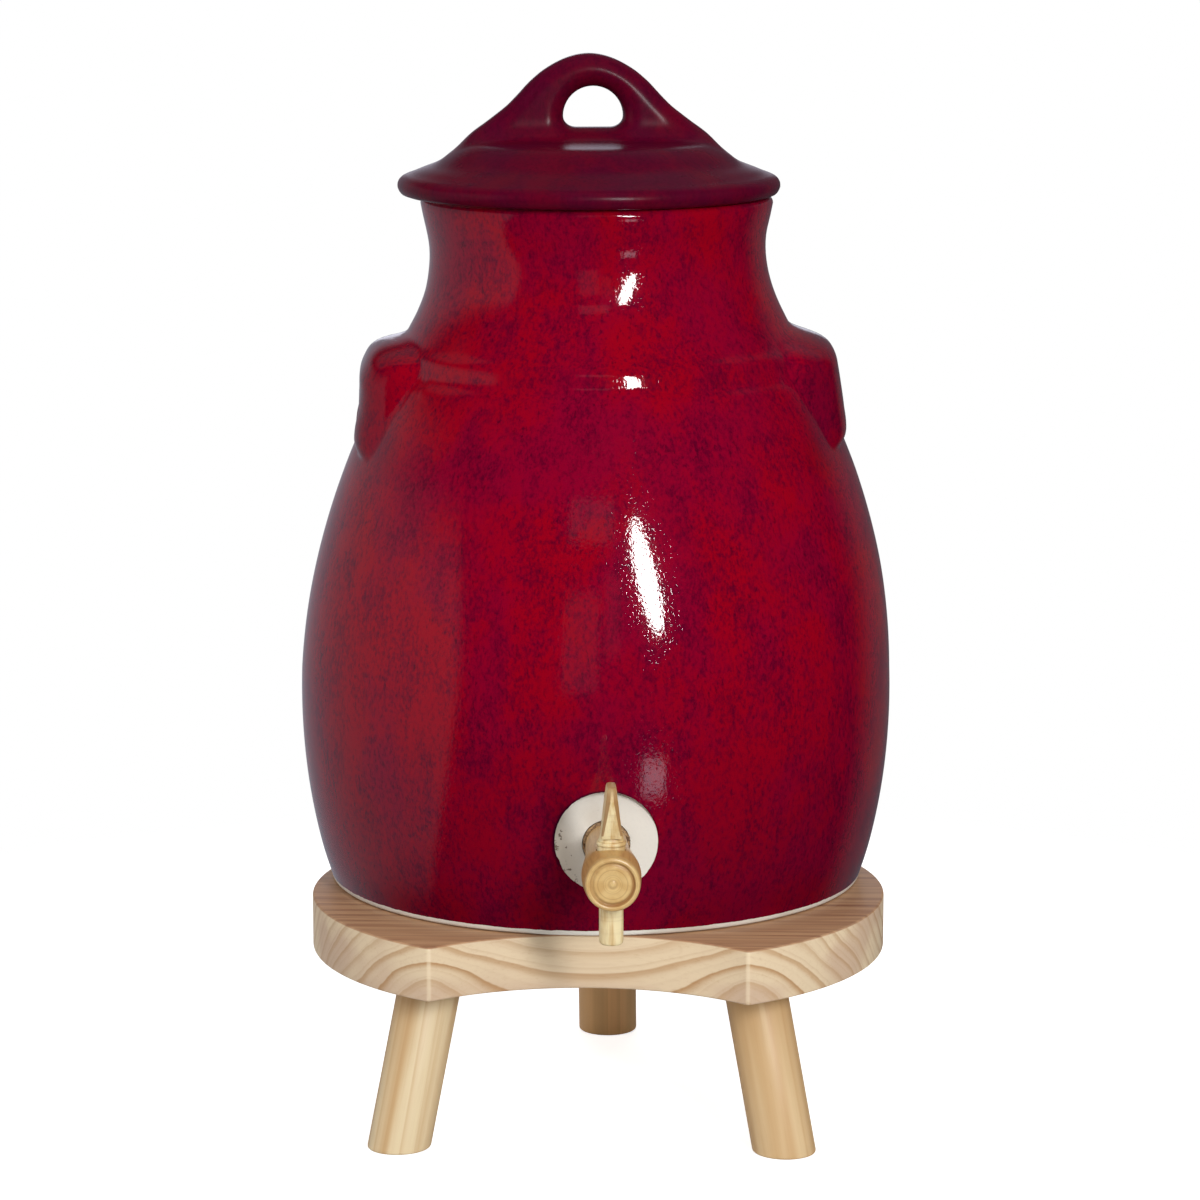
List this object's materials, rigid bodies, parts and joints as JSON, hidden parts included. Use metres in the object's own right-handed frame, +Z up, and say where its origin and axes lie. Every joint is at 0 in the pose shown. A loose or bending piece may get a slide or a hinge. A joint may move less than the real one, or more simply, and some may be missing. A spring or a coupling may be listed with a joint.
{
  "type": "vinegar crock",
  "caption": "Glazed stoneware vinegar crock with ear lugs, a lid with an arched grip and a wooden tap, on a low three-legged pine stand with a notched seat.",
  "frame": {"origin": "on the floor, under the middle of the whole object's box", "axes": "+Z up, -Y along the tap, out of the crock's front"},
  "size_m": [0.22, 0.276, 0.388],
  "materials": {
    "crock_glaze": "glossy mottled crimson glaze",
    "lid_glaze": "glossy dark crimson glaze",
    "boxwood": "turned and waxed",
    "cork": "raw cork",
    "pine_seat": "satin varnished pine",
    "pine_leg": "satin varnished pine"
  },
  "bodies": {
    "stand": {"stand_seat": "pine_seat", "leg_front_left": "pine_leg", "leg_front_right": "pine_leg", "leg_back": "pine_leg"},
    "crock": {"crock_body": "crock_glaze", "tap_cork": "cork", "tap_barrel": "boxwood"},
    "lid": {"lid": "lid_glaze"},
    "tap_key": {"tap_key": "boxwood"}
  },
  "joints": [
    {"name": "crock_lift", "type": "slide", "parent": "stand", "child": "crock", "axis": [0, 0, 1], "range_m": [0, 0.08]},
    {"name": "lid_lift", "type": "slide", "parent": "crock", "child": "lid", "axis": [0, 0, 1], "range_m": [0, 0.08]},
    {"name": "key_turn", "type": "hinge", "parent": "crock", "child": "tap_key", "pos_m": [0, -0.124, 0.1164], "axis": [0, 0, 1], "continuous": true}
  ]
}
